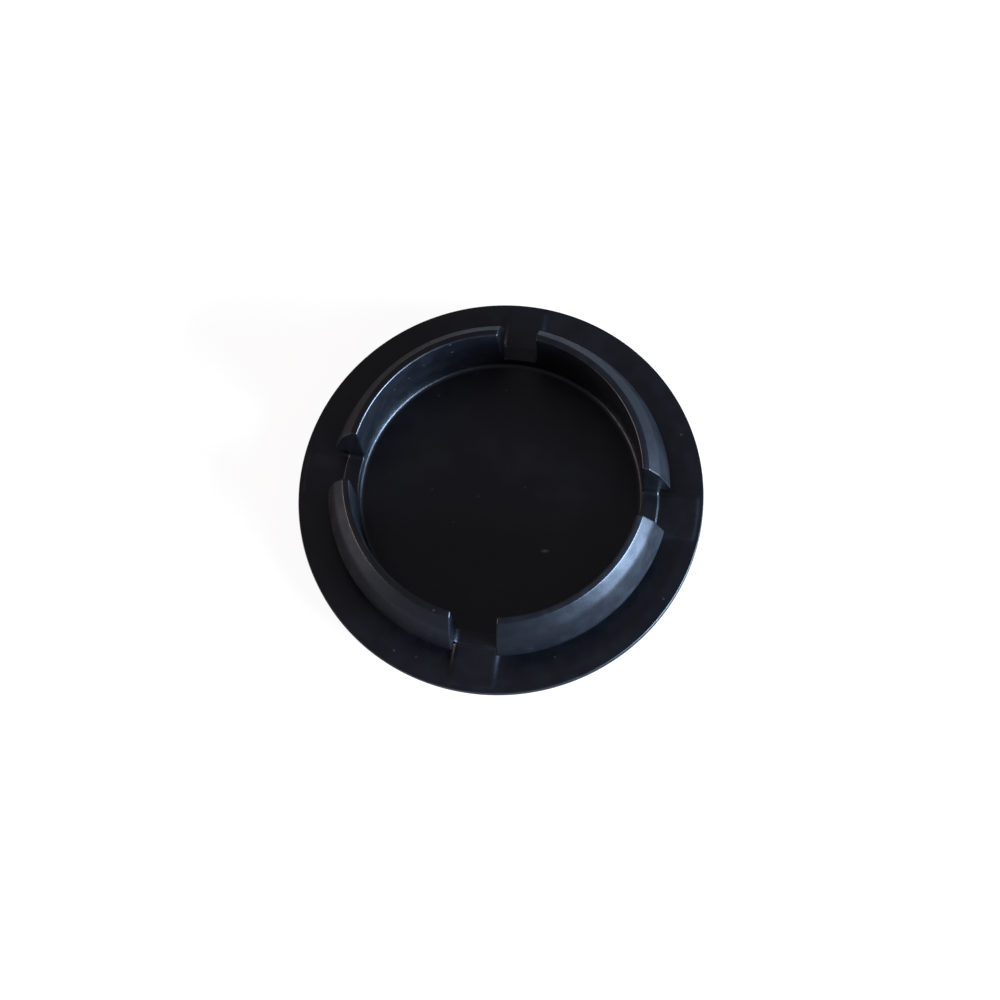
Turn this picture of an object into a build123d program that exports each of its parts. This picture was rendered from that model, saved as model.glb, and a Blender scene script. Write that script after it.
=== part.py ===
from build123d import *
import math
import os

os.makedirs("parts", exist_ok=True)

# A snap-in plug that closes a round hole in sheet metal: a domed head with a thin flange,
# and behind it a ring wall, cut into springing legs that each carry a barb.
# Lengths are in millimetres and angles in degrees. The head's outer face lies at z = 0
# and the legs point along +Z.

# Panel that the plug is made for
panel_hole_diameter = 30.0
panel_thickness = 1.5

# Head
flange_overlap = 4.0
rim_thickness = 0.85
rim_bevel = 0.15
floor_thickness = 1.2
floor_depth = 0.8
dome_flat_diameter = 22.0

# Underside of the flange, dished between the neck and a flat ring near the rim
contact_ring_width = 1.3
dish_depth = 0.2

# Ring wall and barb, and the lead-in between barb and crest, which bulges a little outwards
neck_clearance = 0.2
wall_thickness = 1.5
wall_height = 6.6
inner_draft = 0.9
barb_catch = 0.9
barb_clearance = 0.1
barb_back_height = 0.55
barb_band_height = 0.35
lead_in_bulge = 0.14
crest_thickness = 0.65
crest_rounding = 0.29
crest_bevel = 0.15
cup_root_bevel = 0.18

# Slots between the legs, a quarter turn apart from +X onwards. The one at +Y is narrower.
slot_widths = (4.1, 3.4, 4.1, 4.1)
slot_draft = 1.0
slot_root_rounding = 0.45
sill_height = 0.4

# Flat lands that carry each slot out across the flange, a little proud of it
land_margin = 0.15
land_rise = 0.1
land_bevel = 0.08
land_setback = 0.1

# A softened edge takes no more than this share of the wall or step that it lies on
edge_share = 0.45

# Radii and heights that follow from the sizes above
hole_radius = panel_hole_diameter / 2
neck_radius = hole_radius - neck_clearance
barb_radius = hole_radius + barb_catch
flange_radius = hole_radius + flange_overlap
contact_ring_radius = flange_radius - contact_ring_width
cup_radius = neck_radius - wall_thickness

contact_height = floor_thickness + floor_depth
rim_base_height = contact_height - rim_thickness
dish_height = contact_height - dish_depth
land_top = contact_height + land_rise
sill_top = contact_height + sill_height
crest_height = contact_height + wall_height
barb_back_top = land_top + panel_thickness + barb_clearance
barb_back_base = barb_back_top - barb_back_height
barb_band_top = barb_back_top + barb_band_height
draft_run = (crest_height - floor_thickness) * math.tan(math.radians(inner_draft))
crest_inner_radius = cup_radius + draft_run
crest_outer_radius = crest_inner_radius + crest_thickness

rim_edge = min(rim_bevel, edge_share * rim_thickness)
crest_outer_edge = min(crest_rounding, edge_share * crest_thickness)
crest_inner_edge = min(crest_bevel, edge_share * crest_thickness)


def corner(sketch, radius, height):
    """The corner of the section that lies at this radius and height."""
    return sketch.vertices().sort_by_distance((radius, height, 0))[0]


# One land: a flat strip from the wall out to the rim, its top edges softened
land_start = neck_radius - wall_thickness / 2
land_end = flange_radius - rim_edge - land_setback


def flange_land(slot_width):
    """The land that goes with a slot of this width, lying along +X."""
    with BuildPart() as land:
        with BuildSketch(Plane.XY.offset(dish_height - land_rise)):
            with Locations((land_start, 0)):
                land_size = (flange_overlap + wall_thickness, slot_width + 2 * land_margin)
                Rectangle(*land_size, align=(Align.MIN, Align.CENTER))
            Circle(land_end, mode=Mode.INTERSECT)
        extrude(amount=land_top - dish_height + land_rise)
        chamfer(land.faces().sort_by(Axis.Z)[-1].edges(), min(land_bevel, land_rise))
    return land.part


# The core that leaves one slot: a straight channel across the wall, a little wider at the
# crest than at its sill, with rounded roots where the legs spring from the flange
core_height = crest_height - sill_top + wall_thickness
core_start = cup_radius - wall_thickness
core_reach = barb_radius + wall_thickness
core_spread = core_height * math.tan(math.radians(slot_draft))


def slot_core(slot_width):
    """The core of a slot of this width, lying along +X."""
    with BuildPart() as core:
        with BuildSketch(Plane.YZ.offset(core_start)) as channel:
            with BuildLine():
                Polyline(
                    (-slot_width / 2, sill_top),
                    (slot_width / 2, sill_top),
                    (slot_width / 2 + core_spread, sill_top + core_height),
                    (-slot_width / 2 - core_spread, sill_top + core_height),
                    close=True,
                )
            make_face()
            fillet(channel.vertices().group_by(Axis.Y)[0], slot_root_rounding)
        extrude(amount=core_reach - core_start)
    return core.part


slot_turn = 360 / len(slot_widths)
lands = [flange_land(width).rotate(Axis.Z, slot_turn * n) for n, width in enumerate(slot_widths)]
cores = [slot_core(width).rotate(Axis.Z, slot_turn * n) for n, width in enumerate(slot_widths)]

# The plug itself, turned from one section
with BuildPart() as hole_plug:
    with BuildSketch(Plane.XZ) as section:
        with BuildLine():
            Line((0, 0), (dome_flat_diameter / 2, 0))
            TangentArc(
                (dome_flat_diameter / 2, 0),
                (flange_radius, rim_base_height),
                tangent=(1, 0),
            )
            Polyline(
                (flange_radius, rim_base_height),
                (flange_radius, contact_height),
                (contact_ring_radius, contact_height),
                (neck_radius, dish_height),
                (neck_radius, barb_back_base),
                (barb_radius, barb_back_top),
                (barb_radius, barb_band_top),
            )
            SagittaArc(
                (barb_radius, barb_band_top),
                (crest_outer_radius, crest_height),
                -lead_in_bulge,
            )
            Polyline(
                (crest_outer_radius, crest_height),
                (crest_inner_radius, crest_height),
                (cup_radius, floor_thickness),
                (0, floor_thickness),
                (0, 0),
            )
        make_face()
        chamfer(corner(section, flange_radius, rim_base_height), rim_edge)
        chamfer(corner(section, flange_radius, contact_height), rim_edge)
        fillet(corner(section, crest_outer_radius, crest_height), crest_outer_edge)
        chamfer(corner(section, crest_inner_radius, crest_height), crest_inner_edge)
        chamfer(corner(section, cup_radius, floor_thickness), cup_root_bevel)
    revolve(axis=Axis.Z)

    add(lands)
    add(cores, mode=Mode.SUBTRACT)

hole_plug.part.label = "hole_plug"
print("solids", len(hole_plug.part.solids()), "volume", round(hole_plug.part.volume, 1))
print("size", hole_plug.part.bounding_box().size)
export_step(hole_plug.part, "parts/hole_plug.step")
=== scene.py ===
# %% [markdown]
# # A snap-in hole plug in black plastic
#
# The object is one small moulding: a thin round head that covers a hole in a panel, and
# behind it a ring wall, cut by four slots into springing legs with a barb round each. It lies
# on its head, so the camera looks down into the cup between the legs.
#
# The measured part comes in first. It is a fixed frame: it is never moved or reshaped, and all
# that this script makes is placed by it, in metres.

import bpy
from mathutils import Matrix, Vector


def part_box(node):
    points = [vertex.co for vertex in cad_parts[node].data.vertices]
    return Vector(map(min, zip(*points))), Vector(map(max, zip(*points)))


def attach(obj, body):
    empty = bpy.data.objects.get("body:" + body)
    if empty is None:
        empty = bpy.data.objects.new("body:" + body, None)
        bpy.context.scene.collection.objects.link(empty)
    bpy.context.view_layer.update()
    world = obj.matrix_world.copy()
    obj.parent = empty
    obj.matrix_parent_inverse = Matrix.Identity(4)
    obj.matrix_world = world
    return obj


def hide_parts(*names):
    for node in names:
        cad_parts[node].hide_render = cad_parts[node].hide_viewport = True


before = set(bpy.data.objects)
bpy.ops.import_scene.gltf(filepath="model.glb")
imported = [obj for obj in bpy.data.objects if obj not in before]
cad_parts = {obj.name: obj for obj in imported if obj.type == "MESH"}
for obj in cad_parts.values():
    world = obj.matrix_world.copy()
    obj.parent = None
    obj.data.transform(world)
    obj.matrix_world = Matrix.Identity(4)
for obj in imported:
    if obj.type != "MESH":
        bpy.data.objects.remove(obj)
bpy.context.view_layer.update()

# %% Tools used below
import math

import bmesh
import bpy
from mathutils import Matrix, Vector

MM = 0.001
print("Blender", bpy.app.version_string)

# %% [markdown]
# The sizes of the moulding, in millimetres. The flange's radius and the crest's height are read
# from the frame. The rest are the few numbers a mould maker would note on the drawing: walls,
# steps and drafts. Everything else in the script is worked out from them.

# %% Sizes of the moulding
low_corner, high_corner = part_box("hole_plug")
flange_radius = (high_corner[0] - low_corner[0]) / 2 / MM
crest_height = high_corner[2] / MM

floor_height = 1.2
contact_height = 2.0
rim_base_height = 1.15
rim_softening = 0.09
dome_flat_radius = 11.0
contact_ring_radius = 17.7
dish_height = 1.8

neck_radius = 14.8
cup_radius = 13.3
inner_draft = math.tan(math.radians(0.9))
barb_radius = 15.9
barb_back_base = 3.15
barb_back_top = 3.7
barb_band_top = 4.05
knee_height = 6.9
knee_stand_off = 0.33
crest_thickness = 0.65
crest_fall = 0.2

sill_height = 2.4
slot_widths = (4.1, 3.4, 4.1, 4.1)
slot_draft = math.radians(1.0)
slot_root_radius = 0.45

land_height = 2.08
land_margin = 0.15
land_side_ramp = 0.5
land_side_overhang = 0.12
land_end_radius = 18.72
land_end_ramp = 0.42

leg_edge = 0.12
neck_top_easing = 0.12
barb_easing = 0.2
band_easing = 0.5
knee_easing = 2.5
crest_outer_easing = 0.15
crest_inner_easing = 0.17
print("flange radius", round(flange_radius, 3), "mm, crest height", round(crest_height, 3), "mm")


# %% [markdown]
# A moulding has no sharp corners: each one is eased by a small radius, and those radii are what
# catches the light on black plastic. So the section of the plug is drawn as a line with rounded
# corners. One helper lays an arc into a corner, so that every softened edge is made alike.

# %% Rounding the corners of a section
def eased_corner(before, corner, after, radius, steps):
    """Points of an arc laid into one corner of the section, touching both of its sides."""
    corner, before, after = Vector(corner), Vector(before), Vector(after)
    inward = (before - corner).normalized()
    outward = (after - corner).normalized()
    half_angle = inward.angle(outward) / 2
    reach = radius / math.tan(half_angle)
    centre = corner + (inward + outward).normalized() * (radius / math.sin(half_angle))
    start = corner + inward * reach - centre
    end = corner + outward * reach - centre
    turn = start.angle(end)
    points = []
    for step in range(steps + 1):
        share = step / steps
        a = math.sin((1 - share) * turn) / math.sin(turn)
        b = math.sin(share * turn) / math.sin(turn)
        points.append(tuple(centre + start * a + end * b))
    return points


def eased_line(corners, steps):
    """A section line through corners given as (radius, height, easing)."""
    line = [corners[0][:2]]
    for n in range(1, len(corners) - 1):
        before, corner, after = corners[n - 1][:2], corners[n][:2], corners[n + 1][:2]
        easing = corners[n][2]
        line += eased_corner(before, corner, after, easing, steps) if easing else [corner]
    return line + [corners[-1][:2]]


def filled_in(line, longest):
    """The same line with extra points wherever two neighbours are further apart than longest."""
    full = [line[0]]
    for a, b in zip(line, line[1:]):
        pieces = max(1, math.ceil(math.dist(a, b) / longest))
        full += [tuple(Vector(a).lerp(Vector(b), k / pieces)) for k in range(1, pieces + 1)]
    return full


print("smallest easing", rim_softening, "mm, largest", knee_easing, "mm")

# %% [markdown]
# The head is turned like a shallow dish, so one section line serves all the way round: a flat
# middle, a dome that rises to the rim, and the rim's two eased edges. The dome is an arc that
# leaves the flat without a kink.

# %% Section of the head, from its middle out to the flange's face
dome_run = flange_radius - dome_flat_radius
dome_arc_radius = (dome_run ** 2 + rim_base_height ** 2) / (2 * rim_base_height)
dome_steps = 14
dome_line = []
for step in range(dome_steps + 1):
    out = dome_run * step / dome_steps
    rise = dome_arc_radius - math.sqrt(dome_arc_radius ** 2 - out ** 2)
    dome_line.append((dome_flat_radius + out, rise))

rim_steps = 5
rim_corners = [
    dome_line[-2] + (0,),
    (flange_radius, rim_base_height, rim_softening),
    (flange_radius, contact_height, rim_softening),
    (contact_ring_radius, contact_height, 0),
]
middle_radius = 0.5
flat_spacing = 1.5
rim_spacing = 0.35
head_line = filled_in([(middle_radius, 0.0), dome_line[0]], flat_spacing) + dome_line[1:-1]
head_line += filled_in(eased_line(rim_corners, rim_steps)[1:-1], rim_spacing)
print("head section", len(head_line), "points")


# %% [markdown]
# The back of the flange has two heights. Most of it is dished a little, between the neck and a
# flat ring near the rim. In front of each slot a flat land runs out across it, hardly a tenth of
# a millimetre proud. Both use the same radii, so the land is the same grid lifted up. In the
# photograph the lands have no crisp border, so they fade out over soft ramps.

# %% Heights across the back of the flange
def evenly(first, last, count):
    """Count numbers from first to last, evenly spaced."""
    return [first + (last - first) * k / (count - 1) for k in range(count)]


def soft_step(share):
    """Goes from 0 to 1 without a corner at either end."""
    share = min(1.0, max(0.0, share))
    return share * share * (3 - 2 * share)


land_end_radii = evenly(18.82, 18.3, 9)
contact_ring_radii = evenly(18.05, 17.65, 3)
dish_radii = evenly(17.4, 15.4, 6) + [15.2, 15.06]
flange_radii = land_end_radii + contact_ring_radii + dish_radii


def flange_height(radius, land_share):
    """Height of the flange's back, where land_share is 1 on a land and 0 between the lands."""
    dish_share = min(1.0, (radius - neck_radius) / (contact_ring_radius - neck_radius))
    dished = dish_height + (contact_height - dish_height) * dish_share
    end_share = soft_step((land_end_radius - radius) / land_end_ramp)
    return dished + (land_height - dished) * land_share * end_share


print("flange's back at the neck", flange_height(neck_radius, 0), "mm")
print("and on a land", flange_height(neck_radius, 1), "mm")

# %% [markdown]
# The leg's section runs up the neck, out under the barb, over the barb's narrow band, in along
# the lead-in, over the crest and down the inner wall. The lead-in has a soft knee about two
# thirds of the way up: below it is steeper and stays dark, above it leans in more and takes the
# light. The crest falls a little outwards as well. The whole section is one line, so light can
# run over every edge of the leg without a break.

# %% Section of a leg
def inner_radius(height):
    """Radius of the inner wall, which leans out a little so that the moulding leaves its tool."""
    return cup_radius + (height - floor_height) * inner_draft


crest_inner = inner_radius(crest_height)
crest_outer = crest_inner + crest_thickness
crest_outer_height = crest_height - crest_fall
knee_share = (knee_height - barb_band_top) / (crest_outer_height - barb_band_top)
knee_radius = barb_radius + (crest_outer - barb_radius) * knee_share + knee_stand_off
root_centre_height = sill_height + slot_root_radius
leg_foot_height = root_centre_height - (slot_root_radius + leg_edge) * math.sin(slot_draft)

leg_corners = [
    (neck_radius, leg_foot_height, 0),
    (neck_radius, barb_back_base, neck_top_easing),
    (barb_radius, barb_back_top, barb_easing),
    (barb_radius, barb_band_top, band_easing),
    (knee_radius, knee_height, knee_easing),
    (crest_outer, crest_outer_height, crest_outer_easing),
    (crest_inner, crest_height, crest_inner_easing),
    (inner_radius(leg_foot_height), leg_foot_height, 0),
]
leg_corner_steps = 6
leg_spacing = 0.42
leg_line = filled_in(eased_line(leg_corners, leg_corner_steps), leg_spacing)
print("leg section", len(leg_line), "points")


# %% [markdown]
# A slot is cut straight across the ring wall. Its floor, the sill, turns up into each leg in a
# small root radius, and from there the leg's end face rises almost upright. Two curves say where
# the cut lies, seen along the slot: the cut itself, and the line on the wall where the eased
# edge begins, which stands off from the cut by the easing.

# %% Curves of one side of a slot
flat_steps = 5
root_steps = 8


def slot_curves(half_width):
    """(cut, edge): points (offset, height) from the slot's middle to the foot of the end face."""
    root_offset = half_width + slot_root_radius * (math.tan(slot_draft) - 1 / math.cos(slot_draft))
    cut = [(root_offset * k / flat_steps, sill_height) for k in range(flat_steps)]
    edge = [(offset, sill_height - leg_edge) for offset, _ in cut]
    for k in range(root_steps + 1):
        turn = (math.pi / 2 - slot_draft) * k / root_steps
        out, up = math.sin(turn), -math.cos(turn)
        for curve, radius in ((cut, slot_root_radius), (edge, slot_root_radius + leg_edge)):
            curve.append((root_offset + radius * out, root_centre_height + radius * up))
    return cut, edge


def end_face_offset(half_width, height):
    """How far the leg's end face stands from the slot's middle at this height."""
    return half_width + (height - sill_height) * math.tan(slot_draft)


widest = 2 * end_face_offset(slot_widths[0] / 2, crest_height)
print("a slot is", slot_widths[0], "mm wide at its sill and", round(widest, 2), "mm at the crest")

# %% [markdown]
# Now the surface. A solid turned from a line and cut by slots could be made with Screw and
# Boolean, but a Boolean leaves long thin faces beside the cuts, and a bevel on those breaks up
# exactly where the light catches it. So the plug is woven instead, as a grid of rows (along the
# section) and columns (round the axis). Near a slot the columns bend to lie along it, so the cut
# falls on grid lines.
#
# One half of a slot's quarter is worked out below: columns from the slot's middle to the middle
# of a leg. The other seven are the same with their own slot width, mirrored and turned.

# %% Columns between a slot's middle and a leg's middle
slot_columns = flat_steps + root_steps
close_shares = [0.0, 0.012, 0.03, 0.055, 0.085]
even_columns = 29
leg_column_shares = close_shares + evenly(close_shares[-1], 1.0, even_columns + 1)[1:]
last_column = slot_columns + len(leg_column_shares) - 1
half_quarter = math.pi / 4
print("columns in a half quarter", last_column + 1)


def leg_angle(first_angle, column):
    """Angle of a column on the leg's side, when its first column lies at first_angle."""
    return first_angle + (half_quarter - first_angle) * leg_column_shares[column - slot_columns]


ramp_columns = 4
ramp_foot_column = slot_columns + 1
ramp_top_column = ramp_foot_column - ramp_columns


def land_share(column):
    """How much of the land's rise a column carries."""
    return 1 - soft_step((column - ramp_top_column) / ramp_columns)


def land_offset(half_width, column):
    """Offset from the slot's middle where a column crosses the flange, up to the ramp's foot."""
    ramp_top = half_width + land_margin + land_side_overhang - land_side_ramp
    if column <= ramp_top_column:
        return ramp_top * column / ramp_top_column
    return ramp_top + land_side_ramp * (column - ramp_top_column) / ramp_columns


def flange_angle(half_width, radius, column):
    """Angle of any column where it crosses the flange at this radius."""
    if column <= ramp_foot_column:
        return math.asin(land_offset(half_width, column) / radius)
    return leg_angle(math.asin(land_offset(half_width, slot_columns) / radius), column)


# %% [markdown]
# The rows go round in this order: the head from its middle to the rim, the back of the flange,
# the root of the neck, the neck, the leg (only on the leg's columns), and then the inner wall,
# the cup's root and the floor. Each row function returns one point (angle, radius, height) for
# one column.

# %% Rows of the surface
neck_root_radius = 0.2
land_root_radius = 0.1
root_arc_steps = 5
neck_steps = 5
cup_root_radius = 0.42
floor_radii = evenly(12.8, 10.0, 8) + evenly(9.0, 1.0, 9) + [middle_radius]


def outer_full_rows(half_width):
    """Rows that go right round, from the head's middle to the foot of the legs."""
    edge = slot_curves(half_width)[1]
    columns = range(last_column + 1)
    rows = []
    for radius, height in head_line:
        rows.append([(flange_angle(half_width, flange_radius, c), radius, height) for c in columns])
    for radius in flange_radii:
        row = []
        for c in columns:
            angle = flange_angle(half_width, radius, c)
            row.append((angle, radius, flange_height(radius, land_share(c))))
        rows.append(row)
    for k in range(root_arc_steps + 1):
        turn = math.pi / 2 * k / root_arc_steps
        row = []
        for c in columns:
            easing = neck_root_radius + (land_root_radius - neck_root_radius) * land_share(c)
            foot = flange_height(neck_radius + easing, land_share(c))
            radius = neck_radius + easing * (1 - math.sin(turn))
            height = foot + easing * (1 - math.cos(turn))
            row.append((flange_angle(half_width, radius, c), radius, height))
        rows.append(row)
    start = rows[-1]
    for k in range(1, neck_steps + 1):
        share = k / neck_steps
        row = []
        for c in range(last_column + 1):
            if c <= slot_columns:
                goal_angle, goal_height = math.asin(edge[c][0] / neck_radius), edge[c][1]
            else:
                goal_angle = leg_angle(math.asin(edge[-1][0] / neck_radius), c)
                goal_height = leg_foot_height
            angle, _, height = start[c]
            angle += (goal_angle - angle) * share
            height += (goal_height - height) * share
            row.append((angle, neck_radius, height))
        rows.append(row)
    return rows


def leg_rows(half_width):
    """Rows over the leg alone, between its outer foot and its inner foot."""
    rows = []
    for radius, height in leg_line[1:-1]:
        first = math.asin((end_face_offset(half_width, height) + leg_edge) / radius)
        rows.append([(leg_angle(first, c), radius, height) for c in range(slot_columns, last_column + 1)])
    return rows


def inner_full_rows(half_width):
    """Rows that go right round, from the legs' inner foot down to the middle of the floor."""
    edge = slot_curves(half_width)[1]
    cup_root_top = floor_height + cup_root_radius
    rows = []
    for k in range(neck_steps + 1):
        share = k / neck_steps
        row = []
        for c in range(last_column + 1):
            foot = edge[c][1] if c <= slot_columns else leg_foot_height
            height = foot + (cup_root_top - foot) * share
            radius = inner_radius(height)
            if c <= slot_columns:
                row.append((math.asin(edge[c][0] / radius), radius, height))
            else:
                row.append((leg_angle(math.asin(edge[-1][0] / radius), c), radius, height))
        rows.append(row)
    for k in range(1, root_arc_steps + 1):
        turn = math.pi / 2 * k / root_arc_steps
        radius = inner_radius(cup_root_top) - cup_root_radius * (1 - math.cos(turn))
        height = cup_root_top - cup_root_radius * math.sin(turn)
        rows.append([(point[0], radius, height) for point in rows[neck_steps]])
    for radius in floor_radii:
        rows.append([(point[0], radius, floor_height) for point in rows[neck_steps]])
    return rows


row_makers = (outer_full_rows, leg_rows, inner_full_rows)
print("rows outside, on a leg, inside:", [len(rows_of(slot_widths[0] / 2)) for rows_of in row_makers])

# %% [markdown]
# All places so far are angles, radii and heights within one half quarter. Two helpers turn them
# into points of the real object in metres: one from an angle, the other from distances along and
# beside the slot. A third gives the direction into the wall at each point of a section, because
# the eased edges are laid inside it.

# %% From the section to places in metres
quarter_turn = math.pi / 2


def placed(slot, side, angle, radius, height):
    """A point in metres, from its angle within one half quarter of this slot."""
    turn = slot * quarter_turn + side * angle
    return Vector((radius * math.cos(turn), radius * math.sin(turn), height)) * MM


def across(slot, side, along, offset, height):
    """A point in metres, from its distances along and beside the slot."""
    turn = slot * quarter_turn
    x = along * math.cos(turn) - side * offset * math.sin(turn)
    y = along * math.sin(turn) + side * offset * math.cos(turn)
    return Vector((x, y, height)) * MM


def inward_normals(line):
    """Unit vectors into the wall at each point of a section line."""
    normals = []
    for n in range(len(line)):
        a = Vector(line[max(n - 1, 0)])
        b = Vector(line[min(n + 1, len(line) - 1)])
        along = (b - a).normalized()
        normals.append(Vector((-along.y, along.x)))
    return normals


into_wall = inward_normals(leg_line)
print("directions into the wall", len(into_wall))

# %% [markdown]
# Neighbouring half quarters share the points on their border. So a point is made only once: its
# place is looked up first, to a ten-thousandth of a millimetre, and what is there is used again.
# Merge by Distance could join the borders afterwards, but it might pull the narrow edges together
# as well.

# %% Points and skin
weld_distance = 0.0001
plug_mesh = bmesh.new()
made_vertices = {}


def vertex(place):
    """The mesh's vertex at this place in metres."""
    key = tuple(round(value / MM / weld_distance) for value in place)
    if key not in made_vertices:
        made_vertices[key] = plug_mesh.verts.new(place)
    return made_vertices[key]


def woven(slot, side, rows):
    """Rows of (angle, radius, height) as rows of vertices."""
    return [[vertex(placed(slot, side, *point)) for point in row] for row in rows]


def skin(rows):
    """Faces between each row of vertices and the next."""
    for upper, lower in zip(rows, rows[1:]):
        for c in range(len(upper) - 1):
            corners = [upper[c], upper[c + 1], lower[c + 1], lower[c]]
            distinct = list(dict.fromkeys(corners))
            if len(distinct) > 2:
                plug_mesh.faces.new(distinct)


print("points closer than", weld_distance, "mm are one")

# %% [markdown]
# The eased edge of the cut is a narrow strip, a quarter of an ellipse wide. At each point it
# starts on the wall, heads for the corner where wall and cut would meet, and ends on the cut.
# The strip follows the whole outline: along the sill, up the leg's end, over the crest and down
# again inside.

# %% Eased edge of a slot
edge_steps = 4


def eased(start, corner, end):
    """Vertices from one on the wall, round the corner, to a place on the cut."""
    strip = [start]
    centre = start.co + end - corner
    for step in range(1, edge_steps + 1):
        turn = quarter_turn * step / edge_steps
        place = centre + (start.co - centre) * math.cos(turn) + (end - centre) * math.sin(turn)
        strip.append(vertex(place))
    return strip


def edge_strips(slot, side, half_width, outer_foot, legs, inner_foot):
    """The eased strips from the sill's outer edge, over the leg's end, to its inner edge."""
    cut = slot_curves(half_width)[0]
    strips = []
    for c in range(slot_columns + 1):
        offset, height = cut[c]
        along = math.sqrt(neck_radius ** 2 - offset ** 2)
        corner = across(slot, side, along, offset, height)
        end = across(slot, side, along - leg_edge, offset, height)
        strips.append(eased(outer_foot[c], corner, end))
    for n in range(1, len(leg_line) - 1):
        radius, height = leg_line[n]
        offset = end_face_offset(half_width, height)
        along = math.sqrt(radius ** 2 - offset ** 2)
        corner = across(slot, side, along, offset, height)
        end_height = height + into_wall[n].y * leg_edge
        end_offset = end_face_offset(half_width, end_height)
        end = across(slot, side, along + into_wall[n].x * leg_edge, end_offset, end_height)
        strips.append(eased(legs[n - 1][0], corner, end))
    for c in range(slot_columns, -1, -1):
        offset, height = cut[c]
        along = math.sqrt(inner_radius(height) ** 2 - offset ** 2)
        corner = across(slot, side, along, offset, height)
        end = across(slot, side, along + leg_edge, offset, height)
        strips.append(eased(inner_foot[c], corner, end))
    return strips


print("an eased edge is", leg_edge, "mm wide, in", edge_steps, "steps")

# %% [markdown]
# What is left of a slot is the cut itself. The sill with its rounded root is ruled straight from
# the outer strip to the inner one, and the leg's flat end is one face with many corners. That
# closes the half quarter, and eight of them make the ring.

# %% Weaving the plug
sill_steps = 6


def close_cut(strips):
    """The sill and the leg's end face, between the ends of the eased strips."""
    rulings = []
    for c in range(slot_columns + 1):
        a, b = strips[c][-1], strips[-1 - c][-1]
        middle = [vertex(a.co.lerp(b.co, k / sill_steps)) for k in range(1, sill_steps)]
        rulings.append([a] + middle + [b])
    skin(rulings)
    end_loop = [strip[-1] for strip in strips[slot_columns:len(strips) - slot_columns]]
    end_loop += rulings[-1][-2:0:-1]
    plug_mesh.faces.new(end_loop)


for slot, width in enumerate(slot_widths):
    for side in (1, -1):
        outer = woven(slot, side, outer_full_rows(width / 2))
        legs = woven(slot, side, leg_rows(width / 2))
        inner = woven(slot, side, inner_full_rows(width / 2))
        skin(outer)
        skin([outer[-1][slot_columns:]] + legs + [inner[0][slot_columns:]])
        skin(inner)
        strips = edge_strips(slot, side, width / 2, outer[-1], legs, inner[0])
        skin(strips)
        close_cut(strips)
print("faces woven", len(plug_mesh.faces))

# %% [markdown]
# The grid leaves a small round opening in the middle of the head's face and of the cup's floor,
# because rows that shrink to one point pinch the shading. One flat face with many corners closes
# each of the two.

# %% Closing the middle
innermost_rings = {}
for v in plug_mesh.verts:
    if math.hypot(v.co.x, v.co.y) < (middle_radius + weld_distance) * MM:
        innermost_rings.setdefault(round(v.co.z / MM, 3), []).append(v)
for ring in innermost_rings.values():
    ring.sort(key=lambda v: math.atan2(v.co.y, v.co.x))
    plug_mesh.faces.new(ring)
bmesh.ops.recalc_face_normals(plug_mesh, faces=plug_mesh.faces)
open_edges = sum(1 for e in plug_mesh.edges if len(e.link_faces) != 2)
print("faces", len(plug_mesh.faces), "edges not shared by two faces", open_edges)
print("volume", round(plug_mesh.calc_volume() / MM ** 3, 1), "cubic mm")

# %% [markdown]
# The mesh becomes an object that stands for the measured part. It is shaded smooth, and a
# Weighted Normal modifier lets the large faces decide the shading, so that flats look flat right
# up to the eased edges beside them. Sharp edges or Auto Smooth would cut the highlights there.

# %% The plug as an object
flats_weight = 80
plug_data = bpy.data.meshes.new("plug_moulding")
plug_mesh.to_mesh(plug_data)
plug_mesh.free()
plug = bpy.data.objects.new("plug_moulding", plug_data)
bpy.context.scene.collection.objects.link(plug)
for face in plug_data.polygons:
    face.use_smooth = True
true_normals = plug.modifiers.new("true flats", "WEIGHTED_NORMAL")
true_normals.weight = flats_weight
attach(plug, "root")
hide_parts("hole_plug")
triangles = sum(len(face.vertices) - 2 for face in plug_data.polygons)
print("triangles", triangles)

# %% [markdown]
# The plug is one black plastic, satin from the mould's fine texture. Black plastic is almost only
# its reflections: its own colour hardly counts, and its roughness says how wide each highlight
# spreads. So the colour stays near black, and the detail goes into what breaks up a reflection.
# All of it is worked out from the place on the object in millimetres, so it has the same scale
# on every side and needs no unwrapping.

# %% Black plastic, and its scale in millimetres
plastic_ior = 1.5
cool_reflection = (0.80, 0.88, 1.0, 1.0)
black_plastic = bpy.data.materials.new("black_plastic")
black_plastic.use_nodes = True
nodes, links = black_plastic.node_tree.nodes, black_plastic.node_tree.links
plastic = nodes["Principled BSDF"]
plastic.inputs["IOR"].default_value = plastic_ior
plastic.inputs["Specular Tint"].default_value = cool_reflection

place = nodes.new("ShaderNodeTexCoord")
millimetres = nodes.new("ShaderNodeVectorMath")
millimetres.operation = "SCALE"
millimetres.inputs["Scale"].default_value = 1 / MM
links.new(place.outputs["Object"], millimetres.inputs[0])
plug_data.materials.append(black_plastic)


def cloud(per_mm, detail, name):
    """A soft noise that repeats about per_mm times in a millimetre."""
    noise = nodes.new("ShaderNodeTexNoise")
    noise.name = name
    noise.inputs["Scale"].default_value = per_mm
    noise.inputs["Detail"].default_value = detail
    links.new(millimetres.outputs[0], noise.inputs["Vector"])
    return noise.outputs["Fac"]


def spread(value, low, high, new_low, new_high):
    """The same value with low to high stretched over new_low to new_high."""
    stretch = nodes.new("ShaderNodeMapRange")
    stretch.interpolation_type = "SMOOTHSTEP"
    for socket, number in zip(stretch.inputs[1:5], (low, high, new_low, new_high)):
        socket.default_value = number
    links.new(value, stretch.inputs[0])
    return stretch.outputs[0]


print("plastic's index of refraction", plastic_ior)

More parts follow.
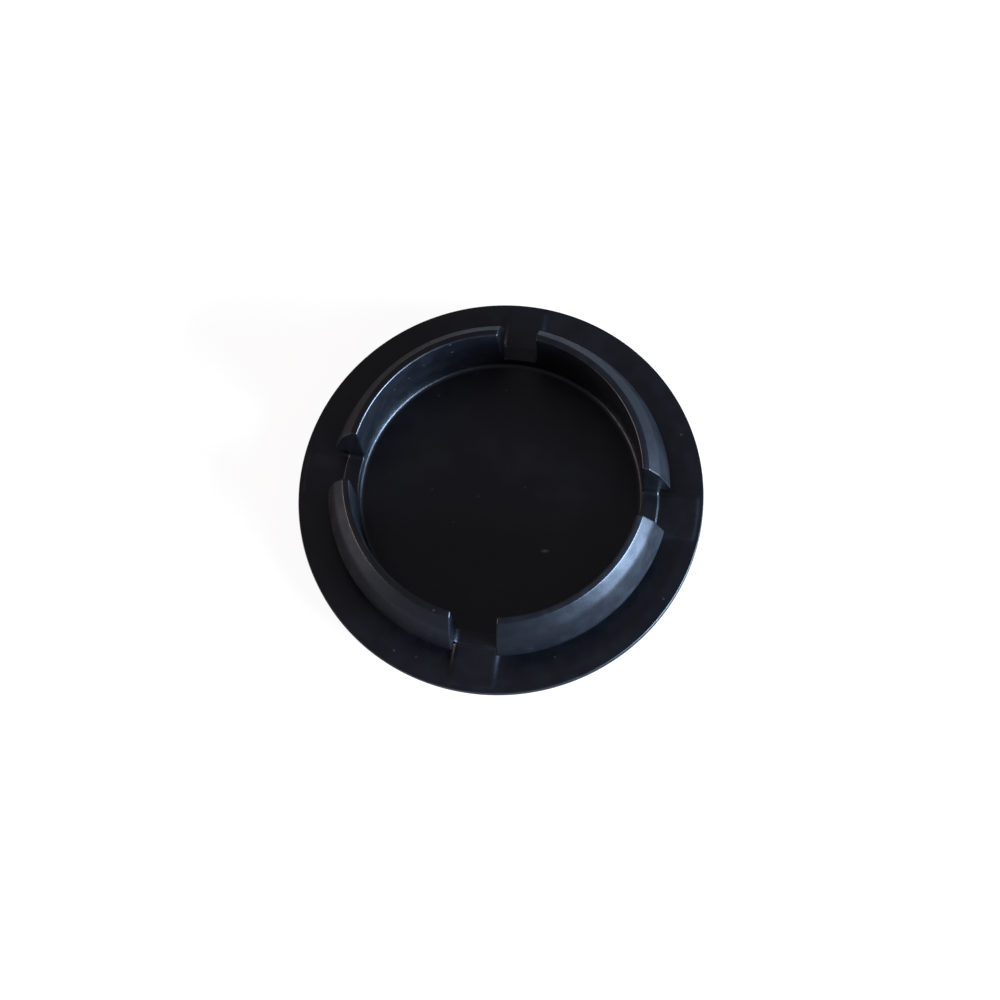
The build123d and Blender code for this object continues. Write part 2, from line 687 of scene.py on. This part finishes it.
# %% [markdown]
# A plug that has lain about in a box isn't evenly black. Handling leaves a thin grey haze in
# patches a few millimetres across, and small pale flecks of dust. Both could be painted, but a
# cloud of noise cut off at a level gives the same patches, and the cells of a Voronoi texture
# give flecks that never line up.

# %% Colour: black, with haze and flecks
clean_black = (0.0011, 0.0014, 0.0025, 1)
hazed_black = (0.0034, 0.0034, 0.0046, 1)
fleck_grey = (0.030, 0.030, 0.034, 1)
haze_per_mm, haze_detail = 0.24, 4.0
haze_start, haze_full = 0.46, 0.72
flecks_per_mm = 0.75
fleck_core, fleck_edge = 0.05, 0.11
chosen_from, chosen_full = 0.72, 0.76

haze_cloud = cloud(haze_per_mm, haze_detail, "haze patches")
haze = spread(haze_cloud, haze_start, haze_full, 0.0, 1.0)
cells = nodes.new("ShaderNodeTexVoronoi")
cells.inputs["Scale"].default_value = flecks_per_mm
links.new(millimetres.outputs[0], cells.inputs["Vector"])
near_a_fleck = spread(cells.outputs["Distance"], fleck_core, fleck_edge, 1.0, 0.0)
chosen = spread(cells.outputs["Color"], chosen_from, chosen_full, 0.0, 1.0)
fleck = nodes.new("ShaderNodeMath")
fleck.operation = "MULTIPLY"
links.new(near_a_fleck, fleck.inputs[0])
links.new(chosen, fleck.inputs[1])


colour_a, colour_b, colour_result = 6, 7, 2


def blended(amount, under, over):
    """Over laid on under by amount; under may be a colour or what another blend gives."""
    blend = nodes.new("ShaderNodeMix")
    blend.data_type = "RGBA"
    links.new(amount, blend.inputs["Factor"])
    if isinstance(under, tuple):
        blend.inputs[colour_a].default_value = under
    else:
        links.new(under, blend.inputs[colour_a])
    blend.inputs[colour_b].default_value = over
    return blend.outputs[colour_result]


hazed = blended(haze, clean_black, hazed_black)
flecked = blended(fleck.outputs[0], hazed, fleck_grey)
print("nodes for haze and flecks", len(nodes))

# %% [markdown]
# One mark is too plain to leave to chance: a pale spot, a millimetre long, painted into the colour
# of the cup's floor. A Mapping node in its Texture mode shifts, turns and squeezes space, so that
# the spot becomes a ball of radius 1 around the origin, and the distance from there says where it is.

# %% The pale spot painted on the cup's floor
# A pale spot painted into the floor's colour, the same under any lamp.
pale_spot_place = (4.87, -4.64, floor_height)
pale_spot_turn = math.radians(7.8)
pale_spot_half_size = (0.55, 0.22, 0.5)
pale_spot_core = 0.2
pale_spot_grey = (0.13, 0.12, 0.125, 1)

around_pale_spot = nodes.new("ShaderNodeMapping")
around_pale_spot.vector_type = "TEXTURE"
around_pale_spot.inputs["Location"].default_value = pale_spot_place
around_pale_spot.inputs["Rotation"].default_value = (0, 0, pale_spot_turn)
around_pale_spot.inputs["Scale"].default_value = pale_spot_half_size
links.new(millimetres.outputs[0], around_pale_spot.inputs["Vector"])
from_pale_spot = nodes.new("ShaderNodeVectorMath")
from_pale_spot.operation = "LENGTH"
links.new(around_pale_spot.outputs[0], from_pale_spot.inputs[0])
on_pale_spot = spread(from_pale_spot.outputs["Value"], pale_spot_core, 1.0, 1.0, 0.0)
with_pale_spot = blended(on_pale_spot, flecked, pale_spot_grey)
links.new(with_pale_spot, plastic.inputs["Base Color"])
print("scuff at", pale_spot_place, "mm")

# %% [markdown]
# The roughness wanders a little too, because the haze is duller than clean plastic. The mould's
# texture itself is a fine grain, a few thousandths of a millimetre high. A Bump node tilts the
# reflections as such a grain does. A second, slower wave gives the slight unevenness that thin
# plastic takes on as it shrinks.

# %% Roughness and the mould's grain
dull_per_mm, dull_detail = 0.6, 3.0
dull_start, dull_full = 0.35, 0.7
clean_roughness, dull_roughness = 0.34, 0.42
dull_cloud = cloud(dull_per_mm, dull_detail, "dull patches")
dullness = spread(dull_cloud, dull_start, dull_full, clean_roughness, dull_roughness)
links.new(dullness, plastic.inputs["Roughness"])

grain_per_mm, grain_detail = 5.0, 2.0
grain_strength, grain_height = 0.5, 0.01 * MM
grain = nodes.new("ShaderNodeBump")
grain.inputs["Strength"].default_value = grain_strength
grain.inputs["Distance"].default_value = grain_height
links.new(cloud(grain_per_mm, grain_detail, "mould grain"), grain.inputs["Height"])

shrinkage_per_mm, shrinkage_detail = 0.55, 1.0
shrinkage_strength, shrinkage_height = 0.6, 0.04 * MM
shrinkage = nodes.new("ShaderNodeBump")
shrinkage.inputs["Strength"].default_value = shrinkage_strength
shrinkage.inputs["Distance"].default_value = shrinkage_height
links.new(cloud(shrinkage_per_mm, shrinkage_detail, "shrinkage"), shrinkage.inputs["Height"])
links.new(grain.outputs[0], shrinkage.inputs["Normal"])
links.new(shrinkage.outputs[0], plastic.inputs["Normal"])
print("black plastic has", len(nodes), "nodes")

# %% [markdown]
# The photograph looks down into the cup from a quarter of a metre away. The camera's place comes
# from circles of the moulding, such as the rim and the crest, laid over their outlines in the
# picture. It stands 72 degrees above the table and is rolled to one side. A Track To constraint
# would aim it, but it would keep the picture level. So its matrix is built from three steps: the
# place, the direction, and then the roll.

# %% The camera
camera_distance = 250 * MM
camera_height_angle = math.radians(72.49)
camera_turn = math.radians(20.4)
camera_roll = math.radians(12.56)
aim = Vector((0, 0, contact_height * MM))
toward_camera = Vector((
    math.sin(camera_turn) * math.cos(camera_height_angle),
    -math.cos(camera_turn) * math.cos(camera_height_angle),
    math.sin(camera_height_angle),
))
camera_data = bpy.data.cameras.new("camera")
camera = bpy.data.objects.new("camera", camera_data)
bpy.context.scene.collection.objects.link(camera)
place_step = Matrix.Translation(aim + toward_camera * camera_distance)
direction_step = (-toward_camera).to_track_quat("-Z", "Y").to_matrix().to_4x4()
roll_step = Matrix.Rotation(-camera_roll, 4, "Z")
camera.matrix_world = place_step @ direction_step @ roll_step

lens_length = 96.2
lens_shift = -0.00507
nearest_seen = 0.01
camera_data.lens = lens_length
camera_data.shift_y = lens_shift
camera_data.clip_start = nearest_seen
bpy.context.scene.camera = camera
print("camera at", [round(value, 3) for value in camera.matrix_world.translation], "m")

# %% [markdown]
# The plug lies on a plain pale table that runs out of the picture on every side. The picture's
# background is white, so the camera has to see white there. More light on the table would do it,
# but would bleach the plug as well. So the paper keeps its own grey, with the plug's shadow on it,
# and its material asks the Light Path node who is looking: for a ray from the camera a white glow
# is added to the lit paper. A reflection gets only a little of that glow, since the plug in the
# photograph mirrors a dim, shadowed table.

# %% The table
table_half = 2.0
table_data = bpy.data.meshes.new("table")
corner_sides = ((-1, -1), (1, -1), (1, 1), (-1, 1))
table_corners = [(x * table_half, y * table_half, 0) for x, y in corner_sides]
table_data.from_pydata(table_corners, [], [(0, 1, 2, 3)])
table = bpy.data.objects.new("table", table_data)
bpy.context.scene.collection.objects.link(table)
print("table", 2 * table_half, "m across")

# %% White paper on the table
paper_grey = (0.2, 0.2, 0.2, 1)
paper_roughness = 0.9
white_paper = bpy.data.materials.new("white_paper")
white_paper.use_nodes = True
nodes, links = white_paper.node_tree.nodes, white_paper.node_tree.links
paper = nodes["Principled BSDF"]
paper.inputs["Base Color"].default_value = paper_grey
paper.inputs["Roughness"].default_value = paper_roughness
white = nodes.new("ShaderNodeEmission")
ray = nodes.new("ShaderNodeLightPath")


def share_of(ray_kind, share):
    """This share for one kind of ray, and nothing for all others."""
    product = nodes.new("ShaderNodeMath")
    product.operation = "MULTIPLY"
    product.inputs[1].default_value = share
    links.new(ray.outputs[ray_kind], product.inputs[0])
    return product.outputs[0]


def largest(a, b):
    """The larger of two values."""
    larger = nodes.new("ShaderNodeMath")
    larger.operation = "MAXIMUM"
    links.new(a, larger.inputs[0])
    links.new(b, larger.inputs[1])
    return larger.outputs[0]


seen_white = 0.9
mirrored_white = 0.04
glossy = share_of("Is Glossy Ray", mirrored_white)
mirrored = largest(glossy, share_of("Is Transmission Ray", mirrored_white))
whiteness = largest(share_of("Is Camera Ray", seen_white), mirrored)
links.new(whiteness, white.inputs["Strength"])
surface = nodes.new("ShaderNodeAddShader")
links.new(paper.outputs[0], surface.inputs[0])
links.new(white.outputs[0], surface.inputs[1])
links.new(surface.outputs[0], nodes["Material Output"].inputs["Surface"])
table_data.materials.append(white_paper)
print("glow seen by the camera", seen_white, "and in reflections", mirrored_white)

# %% [markdown]
# Black plastic shows its form only where it reflects something bright. In the photograph that is
# a window, low and to the right, so its light rakes over the table, catches the lead-in of the
# near right leg and the root of the cup's far wall, and leaves the flat faces dark. Here it is a
# wide soft lamp that stands low on that side, and a smaller one above it for the window's top. A
# weak, warmer lamp faces them from the left, and an even, dim sky fills in the rest.
#
# The sky comes first. From the side it shows past the table's edge, so the camera sees white
# there too, and all other rays find the dim sky.

# %% The dim sky
sky_tint = (1.0, 0.84, 0.84, 1)
sky_strength = 0.22
pure_white = (1, 1, 1, 1)
world = bpy.data.worlds.new("dim studio")
bpy.context.scene.world = world
world.use_nodes = True
sky_nodes, sky_links = world.node_tree.nodes, world.node_tree.links
sky = sky_nodes["Background"]
sky.inputs["Color"].default_value = sky_tint
sky.inputs["Strength"].default_value = sky_strength
white_sky = sky_nodes.new("ShaderNodeBackground")
white_sky.inputs["Color"].default_value = pure_white
who_looks = sky_nodes.new("ShaderNodeLightPath")
seen_sky = sky_nodes.new("ShaderNodeMixShader")
sky_links.new(who_looks.outputs["Is Camera Ray"], seen_sky.inputs[0])
sky_links.new(sky.outputs[0], seen_sky.inputs[1])
sky_links.new(white_sky.outputs[0], seen_sky.inputs[2])
sky_links.new(seen_sky.outputs[0], sky_nodes["World Output"].inputs["Surface"])
print("sky strength", sky_strength)

# %% [markdown]
# Each lamp is an Area lamp, because a real window is a bright rectangle and its size decides how
# soft a highlight is. An Area lamp's power spreads over its face and fades with distance, so the
# helper takes the light that should arrive at the plug and works the power out from that.

# %% The lamps
window_blue = (0.58, 0.75, 1.0)
warm_white = (1.0, 0.82, 0.80)
lamp_distance = 0.9


def soft_lamp(name, azimuth, elevation, size, level, colour):
    """A flat lamp that faces the plug; level is the light that it throws on a face turned to it."""
    turn, rise = math.radians(azimuth), math.radians(elevation)
    level_out = math.cos(rise)
    direction = Vector((math.cos(turn) * level_out, math.sin(turn) * level_out, math.sin(rise)))
    lamp_data = bpy.data.lights.new(name, "AREA")
    lamp_data.shape = "RECTANGLE"
    lamp_data.size, lamp_data.size_y = size
    lamp_data.energy = level * math.pi * lamp_distance ** 2
    lamp_data.color = colour
    lamp = bpy.data.objects.new(name, lamp_data)
    lamp.location = aim + direction * lamp_distance
    lamp.rotation_euler = (-direction).to_track_quat("-Z", "Y").to_euler()
    bpy.context.scene.collection.objects.link(lamp)
    print(name, "lamp at", [round(value, 2) for value in lamp.location])


soft_lamp("window", -9, 6, (0.50, 0.26), 23.0, window_blue)
soft_lamp("window top", -24, 17, (0.38, 0.17), 7.0, window_blue)
soft_lamp("fill", -171, 9, (0.60, 0.30), 2.6, warm_white)
bpy.context.scene.view_settings.view_transform = "Standard"
